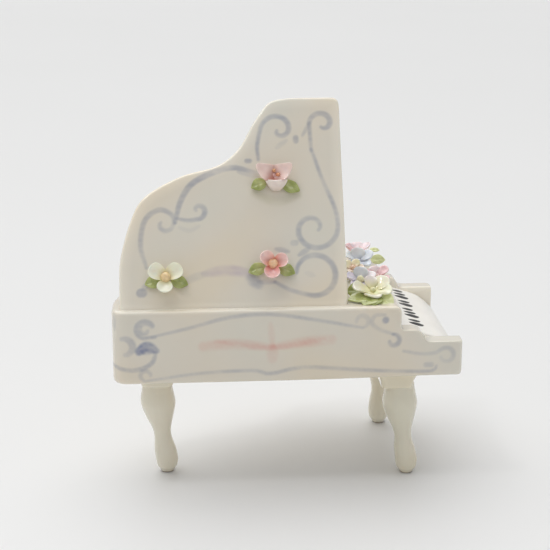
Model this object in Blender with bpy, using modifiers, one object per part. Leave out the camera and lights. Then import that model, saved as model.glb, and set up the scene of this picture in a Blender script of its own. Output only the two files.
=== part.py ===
"""Miniature porcelain grand piano, an ornament for a dolls house shelf.

Units are metres, +Z up. The empty "piano" sits at the spine and tail corner of
the case, level with the underside of the case, so that +X runs to the
keyboard, +Y runs from the straight spine to the treble side, and the feet
stand LEG_HEIGHT below it. The world origin is on the ground under the middle
of the whole ornament.
"""

from math import atan2, cos, pi, radians, sin

import bmesh
import bpy
from mathutils import Matrix

MM = 0.001

# Case
LENGTH = 84 * MM
WIDTH = 46.8 * MM
CASE_HEIGHT = 17.8 * MM
CORNER_RADIUS = 3.5 * MM
CASE_FRONT_RADIUS = 1.0 * MM
CASE_EDGE = 1.0 * MM
WALL = 3.2 * MM
FLOOR = 3.0 * MM
SPINE_LEDGE = 7.0 * MM
BELLY_WALL = 2.5 * MM
SOUNDBOARD_LEDGE = 2.0 * MM
SOUNDBOARD_Z = 9.0 * MM
VENT_X, VENT_Y, VENT_RADIUS = 34.0 * MM, 20.0 * MM, 2.0 * MM
GAP = 0.3 * MM
BEYOND = 4.0 * MM  # how far a cutter runs past what it cuts

# Keyboard end of the case
FALLBOARD_X = 69 * MM
FALLBOARD_NOSE = 1.5 * MM
CHEEK_Z = 12 * MM
CHEEK_X = 72.4 * MM
ARM_X = 76 * MM
ARM_Z = 8.95 * MM
ARM_WIDTH = 4.7 * MM
OGEE = (
    (CHEEK_X, CHEEK_Z), (73.7 * MM, 11.5 * MM), (74.6 * MM, 10.2 * MM), (75.2 * MM, 9.25 * MM),
    (ARM_X, ARM_Z))
KEY_FRONT = LENGTH - GAP
KEY_TOP = (
    (KEY_FRONT, 4.6 * MM), (81.6 * MM, 6.6 * MM), (79.4 * MM, 8.1 * MM), (75.4 * MM, 9.5 * MM),
    (FALLBOARD_X, 11.6 * MM))

# Inside
SOUNDBOARD_THICKNESS = 1.4 * MM
HARP_THICKNESS = 0.9 * MM
HARP_MARGIN = 1.0 * MM
HARP_BORDER = 3.4 * MM
HARP_X = 55.4 * MM
STRUT_WIDTH = 1.6 * MM
STRUTS = ((19 * MM, radians(-14)), (31 * MM, radians(-9)), (42 * MM, radians(-4)))
DECK_X = 56.4 * MM
DECK_THICKNESS = 2.8 * MM

# Lid
LID_TAIL = 1.9 * MM
LID_FRONT = 56.5 * MM
LID_DEPTH = 52.6 * MM
LID_THICKNESS = 3.0 * MM
LID_EDGE = 1.2 * MM
LID_SPINE_RADIUS = 0.5 * MM
LID_CORNER_RADIUS = 1.8 * MM
LID_SPARE = 5.0 * MM  # how far the slab runs below the case top before it is trimmed
LID_SETBACK = 2.5 * MM
LID_LEAN = radians(28.9)

# Legs: each is (knee x, knee y, direction of the toe, block shift in x)
LEG_HEIGHT = 27.2 * MM
BLOCK_HEIGHT = 3.6 * MM
BLOCK_TOP = 10.2 * MM
BLOCK_CORNER = 1.2 * MM
BLOCK_TAPER = 0.74
LEGS = {
    "leg_tail": (10.4 * MM, 11.0 * MM, 0.0, 0.0),
    "leg_front_bass": (69.9 * MM, 6.2 * MM, 0.0, -1.2 * MM),
    "leg_front_treble": (69.9 * MM, 37.3 * MM, pi / 2, -1.0 * MM),
}

# Leg profile from the block down: (depth below the case, toe shift, radius)
LEG_PROFILE = (
    (3.6, 0.0, 3.6),
    (4.4, 0.0, 3.7),
    (5.8, 0.0, 3.95),
    (8.8, 0.1, 4.35),
    (12.0, 0.35, 3.6),
    (15.2, 0.8, 2.5),
    (17.6, 1.1, 2.2),
    (20.6, 1.55, 2.65),
    (23.6, 2.0, 2.8),
    (25.6, 2.1, 2.5),
    (26.6, 2.1, 1.8),
    (27.2, 2.1, 1.7),
)

# The bent side: (distance from the tail end, fraction of the full width)
BENT_SIDE = (
    (0.0, 0.10),
    (0.3, 0.23),
    (2.8, 0.41),
    (6.3, 0.527),
    (15.0, 0.622),
    (23.9, 0.671),
    (29.2, 0.751),
    (33.2, 0.88),
    (37.1, 0.977),
    (42.0, 1.0),
)

# Flowers on the lid: (name, distance along, height up the lid, petal colour, centre colour)
LID_FLOWERS = (
    ("flower_high", 39.6 * MM, 31.3 * MM, "petal_blush", "centre_rose"),
    ("flower_low_tail", 13.0 * MM, 7.5 * MM, "petal_cream", "centre_peach"),
    ("flower_low_front", 38.6 * MM, 10.2 * MM, "petal_rose", "centre_apricot"),
)
PETAL_ANGLES = (38, 142, 270)
PETAL_SIZE = (2.9 * MM, 3.5 * MM, 0.6 * MM)
PETAL_CUP = 0.5 * MM
PETAL_ROOT, PETAL_RISE = 1.25 * MM, 1.35 * MM
PETAL_TILT = radians(14)
LEAF_ANGLES = (-24, 204)
LEAF_SIZE = (4.4 * MM, 2.3 * MM, 0.6 * MM)
LEAF_DROOP = 0.15 * MM
LEAF_ROOT, LEAF_RISE = 1.4 * MM, 0.5 * MM
CENTRE_RADIUS, CENTRE_HALF_HEIGHT = 1.0 * MM, 1.2 * MM

# Bouquet on the front deck: (name, x, y, height, radius, colour)
BOUQUET = (
    ("bouquet_cream", 62.6 * MM, 9.0 * MM, 2.4 * MM, 4.1 * MM, "petal_cream"),
    ("bouquet_blue", 60.6 * MM, 18.4 * MM, 2.6 * MM, 3.9 * MM, "petal_blue"),
    ("bouquet_pink", 66.6 * MM, 22.3 * MM, 2.4 * MM, 2.8 * MM, "petal_rose"),
    ("bouquet_yellow", 60.0 * MM, 26.6 * MM, 2.4 * MM, 2.9 * MM, "petal_yellow"),
    ("bouquet_slate", 63.2 * MM, 34.2 * MM, 2.8 * MM, 3.8 * MM, "petal_blue"),
    ("bouquet_blush", 63.6 * MM, 42.0 * MM, 2.8 * MM, 3.0 * MM, "petal_blush"),
)
COROLLA_THICKNESS = 0.8 * MM
COROLLA_LOBES = 5
COROLLA_LOBE_DEPTH = 0.13
COROLLA_WAIST = 0.88
COROLLA_CUP = 0.22
BALL_SHARE = 0.24
BALL_RISE = 0.55 * MM
BOUQUET_LEAF_RISE = 0.6 * MM
# Bouquet leaves: (x of the root, y of the root, direction in degrees)
BOUQUET_LEAVES = (
    (61.2 * MM, 7.0 * MM, 200),
    (61.6 * MM, 6.0 * MM, 242),
    (63.2 * MM, 5.8 * MM, 284),
    (64.4 * MM, 6.6 * MM, 326),
    (64.9 * MM, 8.2 * MM, 6),
    (59.2 * MM, 22.4 * MM, 180),
    (65.0 * MM, 32.4 * MM, -8),
    (65.2 * MM, 38.2 * MM, 12),
)

# Material: (base colour, roughness)
PALETTE = {
    "porcelain": ((0.80, 0.77, 0.69), 0.18),
    "porcelain_inside": ((0.78, 0.75, 0.67), 0.25),
    "petal_cream": ((0.88, 0.84, 0.58), 0.25),
    "petal_blush": ((0.90, 0.66, 0.66), 0.25),
    "petal_rose": ((0.85, 0.36, 0.42), 0.25),
    "petal_blue": ((0.42, 0.50, 0.74), 0.25),
    "petal_yellow": ((0.88, 0.70, 0.24), 0.25),
    "centre_rose": ((0.80, 0.28, 0.26), 0.3),
    "centre_peach": ((0.86, 0.55, 0.30), 0.3),
    "centre_apricot": ((0.88, 0.60, 0.34), 0.3),
    "centre_yellow": ((0.88, 0.72, 0.22), 0.3),
    "leaf_green": ((0.22, 0.36, 0.06), 0.25),
}


def clear_scene():
    for thing in list(bpy.data.objects):
        bpy.data.objects.remove(thing, do_unlink=True)


def make_collection(name):
    collection = bpy.data.collections.new(name)
    bpy.context.scene.collection.children.link(collection)
    return collection


def make_material(name):
    colour, roughness = PALETTE[name]
    material = bpy.data.materials.new(name)
    material.use_nodes = True
    shader = material.node_tree.nodes["Principled BSDF"]
    shader.inputs["Base Color"].default_value = (*colour, 1.0)
    shader.inputs["Roughness"].default_value = roughness
    shader.inputs["Metallic"].default_value = 0.0
    return material


clear_scene()
parts = make_collection("miniature_grand_piano")
cutters = make_collection("cutters")
materials = {name: make_material(name) for name in PALETTE}


def add_empty(name, parent=None, matrix=None):
    empty = bpy.data.objects.new(name, None)
    parts.objects.link(empty)
    empty.parent = parent
    empty.matrix_local = matrix or Matrix.Identity(4)
    return empty


piano = add_empty("piano")
piano.location = (-LENGTH / 2, -WIDTH / 2, LEG_HEIGHT)


# ---------------------------------------------------------------- helpers

def add_part(name, mesh, material, parent=piano, matrix=None):
    part = bpy.data.objects.new(name, mesh)
    parts.objects.link(part)
    part.parent = parent
    part.matrix_local = matrix or Matrix.Identity(4)
    mesh.materials.clear()
    mesh.materials.append(materials[material])
    return part


def add_cutter(name, mesh, matrix=None):
    cutter = bpy.data.objects.new(name, mesh)
    cutters.objects.link(cutter)
    cutter.parent = piano
    cutter.matrix_local = matrix or Matrix.Identity(4)
    cutter.display_type = "WIRE"
    cutter.hide_render = True
    return cutter


def cut(target, cutter):
    boolean = target.modifiers.new(cutter.name, "BOOLEAN")
    boolean.operation = "DIFFERENCE"
    boolean.solver = "EXACT"
    boolean.object = cutter


def bevel(target, width, segments):
    modifier = target.modifiers.new("edges", "BEVEL")
    modifier.width = width
    modifier.segments = segments
    modifier.limit_method = "ANGLE"
    modifier.angle_limit = radians(50)


def curve_to_mesh(name, curve):
    """Mesh of a curve datablock, with its caps welded on and flat faces merged."""
    holder = bpy.data.objects.new(name, curve)
    bpy.context.scene.collection.objects.link(holder)
    evaluated = holder.evaluated_get(bpy.context.evaluated_depsgraph_get())
    mesh = bpy.data.meshes.new_from_object(evaluated)
    mesh.name = name
    bpy.data.objects.remove(holder)
    form = bmesh.new()
    form.from_mesh(mesh)
    bmesh.ops.remove_doubles(form, verts=form.verts, dist=0.01 * MM)
    bmesh.ops.dissolve_limit(
        form, angle_limit=radians(0.5), verts=form.verts, edges=form.edges)
    bmesh.ops.recalc_face_normals(form, faces=form.faces)
    if form.calc_volume(signed=True) < 0.0:
        bmesh.ops.reverse_faces(form, faces=form.faces)
    form.to_mesh(mesh)
    form.free()
    return mesh


def slab(name, outline, low, high):
    """A flat outline filled and made thick, from low to high along local Z."""
    curve = bpy.data.curves.new(name, "CURVE")
    curve.dimensions = "2D"
    curve.fill_mode = "BOTH"
    curve.extrude = (high - low) / 2
    spline = curve.splines.new("POLY")
    spline.points.add(len(outline) - 1)
    for point, (x, y) in zip(spline.points, outline):
        point.co = (x, y, 0.0, 1.0)
    spline.use_cyclic_u = True
    mesh = curve_to_mesh(name, curve)
    mesh.transform(Matrix.Translation((0.0, 0.0, (low + high) / 2)))
    return mesh


def side_slab(name, profile, low, high):
    """A profile in X and Z, filled and made thick from low to high along Y."""
    mesh = slab(name, profile, -high, -low)
    mesh.transform(Matrix.Rotation(pi / 2, 4, "X"))
    return mesh


def block(name, low, high):
    """A box between two opposite corners."""
    form = bmesh.new()
    size = [b - a for a, b in zip(low, high)]
    middle = [(a + b) / 2 for a, b in zip(low, high)]
    place = Matrix.Translation(middle) @ Matrix.Diagonal((*size, 1.0))
    bmesh.ops.create_cube(form, size=1.0, matrix=place)
    mesh = bpy.data.meshes.new(name)
    form.to_mesh(mesh)
    form.free()
    return mesh


def arc(centre_x, centre_y, radius, start, end, steps):
    """Points on an arc, with its angles in degrees."""
    points = []
    for step in range(steps + 1):
        angle = radians(start + (end - start) * step / steps)
        points.append((centre_x + radius * cos(angle), centre_y + radius * sin(angle)))
    return points


def smooth_path(knots, steps):
    """Points on a Catmull-Rom curve through the knots, ends included."""
    first = tuple(2 * a - b for a, b in zip(knots[0], knots[1]))
    last = tuple(2 * a - b for a, b in zip(knots[-1], knots[-2]))
    padded = [first, *knots, last]
    points = []
    for index in range(len(knots) - 1):
        before, start, end, after = padded[index:index + 4]
        for step in range(steps):
            t = step / steps
            points.append(tuple(
                0.5 * (2 * q + (r - p) * t + (2 * p - 5 * q + 4 * r - s) * t ** 2
                       + (3 * q - p - 3 * r + s) * t ** 3)
                for p, q, r, s in zip(before, start, end, after)))
    points.append(knots[-1])
    return points


# ---------------------------------------------------------------- outlines

def grand_outline(tail, front, depth, spine_radius, front_radius):
    """Wing-shaped plan, anticlockwise: straight spine, front, treble, bent side."""
    bent_side = [(tail + x * MM, depth * f) for x, f in BENT_SIDE]
    bent_side.reverse()
    points = arc(tail + spine_radius, spine_radius, spine_radius, 180, 270, 4)
    points += arc(front - front_radius, front_radius, front_radius, 270, 360, 3)
    points += arc(front - front_radius, depth - front_radius, front_radius, 0, 90, 3)
    points += smooth_path(bent_side, 3)
    return points


def clamp(value, low, high):
    return min(max(value, low), high)


def turns_back(before, point, after):
    """Whether an outline doubles back on itself at a point."""
    came = (point[0] - before[0], point[1] - before[1])
    goes = (after[0] - point[0], after[1] - point[1])
    along = came[0] * goes[0] + came[1] * goes[1]
    across = came[0] * goes[1] - came[1] * goes[0]
    return along < -abs(across)


def inset(outline, distance, low, high):
    """The outline moved inwards and kept between two corners, without its folds."""
    moved = []
    for index, (x, y) in enumerate(outline):
        ahead = outline[(index + 1) % len(outline)]
        behind = outline[index - 1]
        run = (ahead[0] - behind[0], ahead[1] - behind[1])
        length = (run[0] ** 2 + run[1] ** 2) ** 0.5
        point = (
            clamp(x - run[1] / length * distance, low[0], high[0]),
            clamp(y + run[0] / length * distance, low[1], high[1]))
        last = moved[-1] if moved else outline[-1]
        step = (point[0] - last[0]) * run[0] + (point[1] - last[1]) * run[1]
        if step > 0.1 * MM * length:
            moved.append(point)
    return [
        point for index, point in enumerate(moved)
        if not turns_back(moved[index - 1], point, moved[(index + 1) % len(moved)])]


CASE_OUTLINE = grand_outline(0.0, LENGTH, WIDTH, CORNER_RADIUS, CASE_FRONT_RADIUS)


def well_outline(extra=0.0, front=None):
    """Edge of the string well, or of a board that clears it by extra and ends at front."""
    low = (WALL + extra, SPINE_LEDGE + extra)
    high = (front or FALLBOARD_X - BELLY_WALL - extra, WIDTH - WALL - extra)
    return inset(CASE_OUTLINE, WALL + extra, low, high)


# ---------------------------------------------------------------- case

def keyboard_end_profile():
    """Everything above the fallboard, cheek and arm, seen from the spine."""
    nose_x = FALLBOARD_X - FALLBOARD_NOSE
    nose_z = CASE_HEIGHT - FALLBOARD_NOSE
    nose = arc(nose_x, nose_z, FALLBOARD_NOSE, 80, 0, 4)
    above = CASE_HEIGHT + BEYOND
    beyond = LENGTH + BEYOND
    return [
        (nose[0][0], above), *nose, (FALLBOARD_X, CHEEK_Z), *smooth_path(OGEE, 2),
        (beyond, ARM_Z), (beyond, above)]


def make_case():
    case = add_part("case", slab("case", CASE_OUTLINE, 0.0, CASE_HEIGHT), "porcelain")
    bevel(case, CASE_EDGE, 2)
    above = CASE_HEIGHT + BEYOND
    cut(case, add_cutter(
        "cut_keyboard_end",
        side_slab("cut_keyboard_end", keyboard_end_profile(), -BEYOND, WIDTH + BEYOND)))
    cut(case, add_cutter("cut_key_bay", block(
        "cut_key_bay", (FALLBOARD_X, ARM_WIDTH, FLOOR),
        (LENGTH + BEYOND, WIDTH - ARM_WIDTH, above))))
    cut(case, add_cutter(
        "cut_string_well", slab("cut_string_well", well_outline(), SOUNDBOARD_Z, above)))
    cut(case, add_cutter(
        "cut_cavity", slab(
            "cut_cavity", well_outline(SOUNDBOARD_LEDGE), FLOOR, SOUNDBOARD_Z + MM)))
    rim = arc(VENT_X, VENT_Y, VENT_RADIUS, 0, 337.5, 15)
    cut(case, add_cutter("cut_vent", slab("cut_vent", rim, -BEYOND, FLOOR + MM)))


# ---------------------------------------------------------------- inside and top

def make_soundboard():
    top = SOUNDBOARD_Z + SOUNDBOARD_THICKNESS
    mesh = slab("soundboard", well_outline(GAP), SOUNDBOARD_Z, top)
    add_part("soundboard", mesh, "porcelain_inside")


def make_harp_plate():
    """Relief frame on the soundboard, with three struts across its window."""
    bottom = SOUNDBOARD_Z + SOUNDBOARD_THICKNESS
    top = bottom + HARP_THICKNESS
    plate = add_part(
        "harp_plate", slab("harp_plate", well_outline(GAP + HARP_MARGIN, HARP_X), bottom, top),
        "porcelain_inside")
    window = well_outline(GAP + HARP_BORDER, HARP_X - HARP_BORDER)
    cut(plate, add_cutter("cut_window", slab("cut_window", window, bottom - MM, top + MM)))
    reach = well_outline(2 * GAP + HARP_BORDER, HARP_X - HARP_BORDER - GAP)
    keep = add_cutter("keep_struts", slab("keep_struts", reach, bottom - MM, top + MM))
    for index, (x, turn) in enumerate(STRUTS):
        name = f"harp_strut_{index + 1}"
        bar = block(name, (-STRUT_WIDTH / 2, -WIDTH, bottom), (STRUT_WIDTH / 2, WIDTH, top))
        place = Matrix.Translation((x, SPINE_LEDGE, 0.0)) @ Matrix.Rotation(turn, 4, "Z")
        strut = add_part(name, bar, "porcelain_inside", matrix=place)
        cut(strut, keep)
        strut.modifiers[0].operation = "INTERSECT"


def make_pin_block():
    low = SOUNDBOARD_Z + SOUNDBOARD_THICKNESS
    high = CASE_HEIGHT - DECK_THICKNESS
    mesh = block(
        "pin_block", (DECK_X + GAP, SPINE_LEDGE + GAP, low),
        (FALLBOARD_X - BELLY_WALL - GAP, WIDTH - WALL - GAP, high))
    add_part("pin_block", mesh, "porcelain_inside")


def make_front_deck():
    mesh = block(
        "front_deck", (DECK_X, SPINE_LEDGE, CASE_HEIGHT - DECK_THICKNESS),
        (FALLBOARD_X - BELLY_WALL, WIDTH - WALL, CASE_HEIGHT))
    add_part("front_deck", mesh, "porcelain")


def make_keyboard():
    """One sloping block of keys between the arms, rounded over at the player's edge."""
    profile = [(FALLBOARD_X, FLOOR), (KEY_FRONT, FLOOR), *smooth_path(KEY_TOP, 3)]
    mesh = side_slab("keyboard", profile, ARM_WIDTH, WIDTH - ARM_WIDTH)
    add_part("keyboard", mesh, "porcelain")


# ---------------------------------------------------------------- lid

# Lid plane: local X along the spine, local Y up the lid, local Z out of its show face.
LID_PLANE = (
    Matrix.Translation((0.0, LID_SETBACK, CASE_HEIGHT))
    @ Matrix.Rotation(pi / 2 - LID_LEAN, 4, "X"))


def make_lid():
    """The slab starts below the case top and is trimmed level with it."""
    outline = grand_outline(
        LID_TAIL, LID_FRONT, LID_DEPTH, LID_SPINE_RADIUS, LID_CORNER_RADIUS)
    outline = [(x, y - LID_SPARE if y < MM else y) for x, y in outline]
    lid = add_part(
        "lid", slab("lid", outline, -LID_THICKNESS, 0.0), "porcelain", matrix=LID_PLANE)
    bevel(lid, LID_EDGE, 3)
    cut(lid, add_cutter("cut_lid_foot", block(
        "cut_lid_foot", (-BEYOND, -2 * LID_SPARE, 0.0), (LENGTH, WIDTH, CASE_HEIGHT))))


# ---------------------------------------------------------------- legs

def make_leg_mesh(name):
    """A turned leg whose centre line shifts towards the toe."""
    knots = [(shift * MM, -depth * MM, radius * MM) for depth, shift, radius in LEG_PROFILE]
    sections = smooth_path(knots, 2)
    curve = bpy.data.curves.new(name, "CURVE")
    curve.dimensions = "3D"
    curve.bevel_depth = 1.0
    curve.bevel_resolution = 5
    curve.use_fill_caps = True
    spline = curve.splines.new("POLY")
    spline.points.add(len(sections) - 1)
    for point, (shift, height, radius) in zip(spline.points, sections):
        point.co = (shift, 0.0, height, 1.0)
        point.radius = radius
    mesh = curve_to_mesh(name, curve)
    mesh.shade_smooth()
    mesh.set_sharp_from_angle(angle=radians(50))
    return mesh


def make_leg_block_mesh(name):
    """Rounded square block that narrows downwards."""
    half = BLOCK_TOP / 2
    inner = half - BLOCK_CORNER
    outline = []
    for x, y, start in ((inner, -inner, 270), (inner, inner, 0), (-inner, inner, 90),
                        (-inner, -inner, 180)):
        outline += arc(x, y, BLOCK_CORNER, start, start + 90, 3)
    mesh = slab(name, outline, -BLOCK_HEIGHT, 0.0)
    for vertex in mesh.vertices:
        if vertex.co.z < -BLOCK_HEIGHT / 2:
            vertex.co.x *= BLOCK_TAPER
            vertex.co.y *= BLOCK_TAPER
    return mesh


def make_legs():
    for name, (x, y, toe, block_shift) in LEGS.items():
        place = Matrix.Translation((x, y, 0.0)) @ Matrix.Rotation(toe, 4, "Z")
        add_part(name, make_leg_mesh(name), "porcelain", matrix=place)
        block_name = name.replace("leg", "leg_block")
        add_part(
            block_name, make_leg_block_mesh(block_name), "porcelain",
            matrix=Matrix.Translation((x + block_shift, y, 0.0)))


# ---------------------------------------------------------------- flowers

def make_round_mesh(name, segments, rings, shape):
    """A unit sphere with each of its points moved by a function."""
    form = bmesh.new()
    bmesh.ops.create_uvsphere(form, u_segments=segments, v_segments=rings, radius=1.0)
    for vertex in form.verts:
        vertex.co = shape(*vertex.co)
    mesh = bpy.data.meshes.new(name)
    form.to_mesh(mesh)
    form.free()
    mesh.shade_smooth()
    return mesh


def petal_shape(x, y, z):
    """A cupped lens that starts at the origin and runs along +X."""
    length, width, thickness = PETAL_SIZE
    broad = 0.8 + 0.2 * x
    lift = PETAL_CUP * (x * x + y * y) / 2
    return (length * (x + 1) / 2, width / 2 * y * broad, thickness / 2 * z + lift)


def leaf_shape(x, y, z):
    """A pointed lens that starts at the origin and runs along +X."""
    length, width, thickness = LEAF_SIZE
    taper = 1.0 - 0.35 * max(x, 0.0) ** 2
    return (length * (x + 1) / 2, width / 2 * y * taper, thickness / 2 * z - LEAF_DROOP * x * x)


def corolla_shape(radius, height):
    """A cupped round flower with lobes, on a short stem that reaches down by its height."""
    def shape(x, y, z):
        reach = (x * x + y * y) ** 0.5
        if z < -0.99:  # only the lowest point, which becomes the foot of the stem
            return (0.0, 0.0, -height)
        swell = 1.0 + COROLLA_LOBE_DEPTH * reach * cos(COROLLA_LOBES * atan2(y, x))
        across = radius * COROLLA_WAIST * swell
        lift = COROLLA_CUP * radius * reach * reach
        return (across * x, across * y, COROLLA_THICKNESS / 2 * z + lift)
    return shape


def add_leaf(name, parent, x, y, height, degrees):
    mesh = make_round_mesh(name, 10, 6, leaf_shape)
    place = Matrix.Translation((x, y, height)) @ Matrix.Rotation(radians(degrees), 4, "Z")
    add_part(name, mesh, "leaf_green", parent, place)


def make_lid_flower(name, along, up, petal_colour, centre_colour):
    """Three petals round a ball, over two leaves, all on the lid's show face."""
    spot = add_empty(name, piano, LID_PLANE @ Matrix.Translation((along, up, 0.0)))
    for index, degrees in enumerate(PETAL_ANGLES):
        part_name = f"{name}_petal_{index + 1}"
        mesh = make_round_mesh(part_name, 12, 6, petal_shape)
        turn = Matrix.Rotation(radians(degrees), 4, "Z")
        root = Matrix.Translation((PETAL_ROOT, 0.0, PETAL_RISE))
        tilt = Matrix.Rotation(-PETAL_TILT, 4, "Y")
        add_part(part_name, mesh, petal_colour, spot, turn @ root @ tilt)
    for index, degrees in enumerate(LEAF_ANGLES):
        turn = radians(degrees)
        add_leaf(f"{name}_leaf_{index + 1}", spot, LEAF_ROOT * cos(turn), LEAF_ROOT * sin(turn),
                 LEAF_RISE, degrees)
    ball = make_round_mesh(
        f"{name}_centre", 12, 8,
        lambda x, y, z: (CENTRE_RADIUS * x, CENTRE_RADIUS * y, CENTRE_HALF_HEIGHT * (z + 1)))
    add_part(f"{name}_centre", ball, centre_colour, spot)


def make_bouquet():
    deck = add_empty("bouquet", piano, Matrix.Translation((0.0, 0.0, CASE_HEIGHT)))
    for name, x, y, height, radius, colour in BOUQUET:
        mesh = make_round_mesh(name, 20, 6, corolla_shape(radius, height))
        add_part(name, mesh, colour, deck, Matrix.Translation((x, y, height)))
        size = BALL_SHARE * radius
        lift = height + BALL_RISE
        ball = make_round_mesh(
            f"{name}_centre", 10, 6,
            lambda x, y, z, size=size: (size * x, size * y, size * (z + 1)))
        add_part(f"{name}_centre", ball, "centre_yellow", deck, Matrix.Translation((x, y, lift)))
    for index, (x, y, degrees) in enumerate(BOUQUET_LEAVES):
        add_leaf(f"bouquet_leaf_{index + 1}", deck, x, y, BOUQUET_LEAF_RISE, degrees)


# ---------------------------------------------------------------- whole ornament

make_case()
make_soundboard()
make_harp_plate()
make_pin_block()
make_front_deck()
make_keyboard()
make_lid()
make_legs()
for flower in LID_FLOWERS:
    make_lid_flower(*flower)
make_bouquet()
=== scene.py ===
"""Looks of the miniature porcelain grand piano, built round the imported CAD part.

Shapes are made in millimetres in the piano's own frame, as in the CAD source:
the origin is the spine and tail corner of the case, level with its underside,
+X runs to the keyboard, +Y from the straight spine to the treble side, +Z up.
PLACE carries that frame to the row frame. The painted scrolls are a colour
attribute worked out from each point's distance to a few brush strokes.
"""

from math import cos, pi, radians, sin, tau

import bmesh
import bpy
import numpy as np
from mathutils import Matrix, Vector


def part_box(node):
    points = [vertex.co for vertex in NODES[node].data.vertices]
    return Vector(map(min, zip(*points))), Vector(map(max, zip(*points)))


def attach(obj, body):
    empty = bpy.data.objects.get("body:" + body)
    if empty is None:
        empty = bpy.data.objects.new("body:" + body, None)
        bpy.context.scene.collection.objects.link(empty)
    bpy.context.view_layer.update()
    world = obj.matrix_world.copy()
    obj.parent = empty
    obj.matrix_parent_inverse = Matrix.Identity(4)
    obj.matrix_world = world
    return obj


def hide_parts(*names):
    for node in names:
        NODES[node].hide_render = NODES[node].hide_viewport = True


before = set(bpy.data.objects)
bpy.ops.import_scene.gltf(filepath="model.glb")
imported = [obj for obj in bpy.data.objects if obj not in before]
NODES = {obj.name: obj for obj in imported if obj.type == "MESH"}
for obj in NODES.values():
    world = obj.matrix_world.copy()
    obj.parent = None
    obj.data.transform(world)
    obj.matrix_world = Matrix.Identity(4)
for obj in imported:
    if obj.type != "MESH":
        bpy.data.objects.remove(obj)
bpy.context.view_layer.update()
MM = 0.001
CASE_LOW, CASE_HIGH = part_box("case")
PLACE = Matrix.Translation(CASE_LOW) @ Matrix.Scale(MM, 4)

# ---------------------------------------------------------------- sizes in millimetres

LENGTH, WIDTH, CASE_HEIGHT = ((b - a) / MM for a, b in zip(CASE_LOW, CASE_HIGH))
CORNER_RADIUS = 3.5
CASE_EDGE = 1.3
CASE_SAG = 0.45
FAR_ARM_LIFT = 0.9
WALL = 3.2
FLOOR = 3.0
SPINE_LEDGE = 7.0
BELLY_WALL = 2.5
SOUNDBOARD_LEDGE = 2.0
SOUNDBOARD_Z = 9.0
DECK_X = 56.4
DECK_THICKNESS = 2.8
VENT = (34.0, 20.0, 2.0)
FALLBOARD_X = 69.0
FALLBOARD_NOSE = 1.5
ARM_WIDTH = 4.7
OGEE = ((72.4, 12.0), (73.7, 11.5), (74.6, 10.2), (75.2, 9.25), (76.0, 8.95))
KEY_TOP = ((83.7, 4.6), (81.6, 6.6), (79.4, 8.1), (75.4, 9.5), (69.0, 11.6))
LID_TAIL, LID_FRONT, LID_DEPTH = 1.9, 56.5, 52.6
LID_THICKNESS = 3.0
LID_EDGE = 1.2
LID_LIT_BAND = 3.2
LID_SETBACK = 2.5
LID_LEAN = radians(28.9)
LID_SUNK = 0.9
LID_ROOT = 5.0
LID_FACE = 0.9
SEAM = ((-0.75, -LID_SUNK), (1.2, -LID_SUNK), (1.2, 1.1), (0.7, 1.1), (-0.1, 0.45))
SEAM_REACH = (2.6, 55.8)
LEG_HEIGHT = CASE_LOW.z / MM
BLOCK_HEIGHT = 3.6
BLOCK_FOOT, BLOCK_TOP, BLOCK_FLARE = 3.75, 5.1, 1.9
BLOCK_CORNER = 1.3
GLAZE_COAT = 0.1
FOOT_GAP = 0.004
# Legs: knee x, knee y, direction of the toe, block shift in x
LEGS = {
    "leg_tail": (10.4, 11.0, 0.0, 0.0),
    "leg_front_bass": (69.9, 6.2, 0.0, -1.2),
    "leg_front_treble": (69.9, 37.3, pi / 2, -1.0),
}
# Leg profile from the block down: (depth below the case, toe shift, radius)
LEG_PROFILE = (
    (3.3, 0.0, 3.55), (4.4, 0.0, 3.65), (5.8, 0.0, 3.95), (8.8, 0.1, 4.35),
    (12.0, 0.35, 3.6), (15.2, 0.8, 2.5), (17.6, 1.1, 2.2), (20.6, 1.55, 2.65),
    (23.6, 2.0, 2.8), (25.6, 2.1, 2.5), (26.6, 2.1, 1.85), (27.2, 2.1, 1.7))
# The bent side: (distance from the tail end, share of the full width)
BENT_SIDE = (
    (0.0, 0.10), (0.3, 0.23), (2.8, 0.41), (6.3, 0.527), (15.0, 0.622),
    (23.9, 0.671), (29.2, 0.751), (33.2, 0.88), (37.1, 0.977), (42.0, 1.0))

LID_PLANE = (
    Matrix.Translation((0.0, LID_SETBACK, CASE_HEIGHT))
    @ Matrix.Rotation(pi / 2 - LID_LEAN, 4, "X"))

# Skins: (voxel size, smoothing rounds), and how far each surface wanders
CASE_SKIN, LID_SKIN, LEG_SKIN, BLOCK_SKIN = (0.27, 14), (0.22, 48), (0.24, 3), (0.22, 14)
CAST_WOBBLE, LEG_WOBBLE = 0.05, 0.04

# ---------------------------------------------------------------- colours (linear)

PORCELAIN = np.array((0.80, 0.738, 0.625))
# Each leg's glaze, a little yellower than the case; the brighter tail and treble legs are painted
# light, making up for light they lack
LEG_TINTS_AND_PAINTED_LIGHT = {
    "leg_tail": PORCELAIN * (1.03, 1.035, 0.99), "leg_front_bass": PORCELAIN * (1.0, 1.01, 0.95),
    "leg_front_treble": PORCELAIN * (1.05, 1.06, 1.01)}
KEY_WHITE = np.array((0.93, 0.905, 0.85))
# Edges paler, partly thin glaze and partly painted highlight; hollows darker, partly pooled glaze
# and partly painted shade
EDGE_GLAZE_AND_HIGHLIGHT = np.array((1.09, 1.09, 1.09))
POOL_GLAZE_AND_SHADE = np.array((0.90, 0.90, 0.86))
WARM_TINT = np.array((1.02, 0.99, 0.935))
COOL_TINT = np.array((0.97, 1.0, 1.02))
BLUE = np.array((0.52, 0.57, 0.73))
VIOLET = np.array((0.64, 0.58, 0.84))
DEEP_BLUE = np.array((0.28, 0.35, 0.62))
PINK = np.array((0.94, 0.55, 0.52))
OLIVE = np.array((0.56, 0.58, 0.34))
BLACK = np.array((0.025, 0.024, 0.024))
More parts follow.
